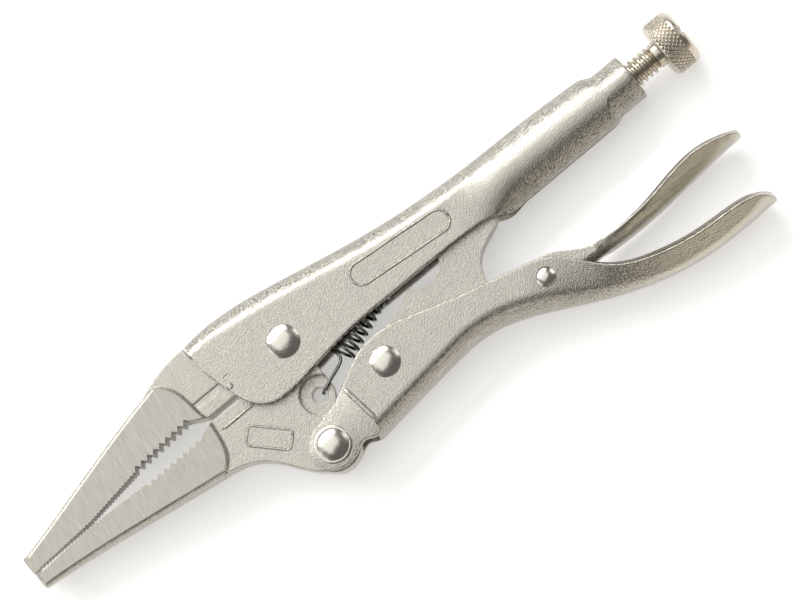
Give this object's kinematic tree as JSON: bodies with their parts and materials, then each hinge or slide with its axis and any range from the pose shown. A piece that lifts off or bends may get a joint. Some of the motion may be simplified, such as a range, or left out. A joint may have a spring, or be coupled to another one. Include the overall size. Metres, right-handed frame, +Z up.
{
  "type": "locking pliers",
  "caption": "Long-nose locking pliers in nickel plated steel, with a toggle lever, release lever, opening spring and knurled adjusting screw; jaws and levers move.",
  "frame": {"origin": "bottom centre of the bounding box, tool lying on its side", "axes": "+X from the jaws to the adjusting screw, +Y to the back of the fixed handle, +Z up through the tool's thickness"},
  "size_m": [0.1402, 0.0452, 0.0102],
  "materials": {
    "nickel_sheet": "satin",
    "nickel_forging": "satin",
    "screw_steel": "satin",
    "polished_rivet": "polished",
    "spring_wire": "blued"
  },
  "bodies": {
    "fixed_handle": {"frame_shell": "nickel_sheet", "fixed_jaw": "nickel_forging", "main_rivet": "polished_rivet", "tension_spring": "spring_wire"},
    "movable_jaw": {"movable_jaw": "nickel_forging", "jaw_rivet": "polished_rivet"},
    "lever": {"lever": "nickel_sheet", "link_rivet": "polished_rivet", "release_rivet": "polished_rivet"},
    "toggle_link": {"toggle_link": "nickel_sheet"},
    "release_lever": {"release_lever": "nickel_sheet"},
    "adjusting_screw": {"adjusting_screw": "screw_steel"}
  },
  "joints": [
    {"name": "jaw_pivot", "type": "hinge", "parent": "fixed_handle", "child": "movable_jaw", "pos_m": [-0.01355, 0.01188, 0.0051], "axis": [0, 0, 1], "range_deg": [0, 19.44], "deforming": ["tension_spring"]},
    {"name": "lever_pivot", "type": "hinge", "parent": "movable_jaw", "child": "lever", "pos_m": [-0.01815, -0.00672, 0.0051], "axis": [0, 0, 1], "range_deg": [-60, 0]},
    {"name": "link_pivot", "type": "hinge", "parent": "lever", "child": "toggle_link", "pos_m": [-0.0028, -0.00162, 0.0051], "axis": [0, 0, 1], "range_deg": [0, 62]},
    {"name": "release_pivot", "type": "hinge", "parent": "lever", "child": "release_lever", "pos_m": [0.02645, -0.00802, 0.0051], "axis": [0, 0, 1], "range_deg": [-6, 0]},
    {"name": "screw_adjust", "type": "slide", "parent": "fixed_handle", "child": "adjusting_screw", "axis": [1, 0, 0], "range_m": [0, 0.012]}
  ],
  "couplings": [
    {"joint": "lever_pivot", "follows": "jaw_pivot", "ratio": -2.9689},
    {"joint": "link_pivot", "follows": "jaw_pivot", "ratio": 3.1003}
  ]
}
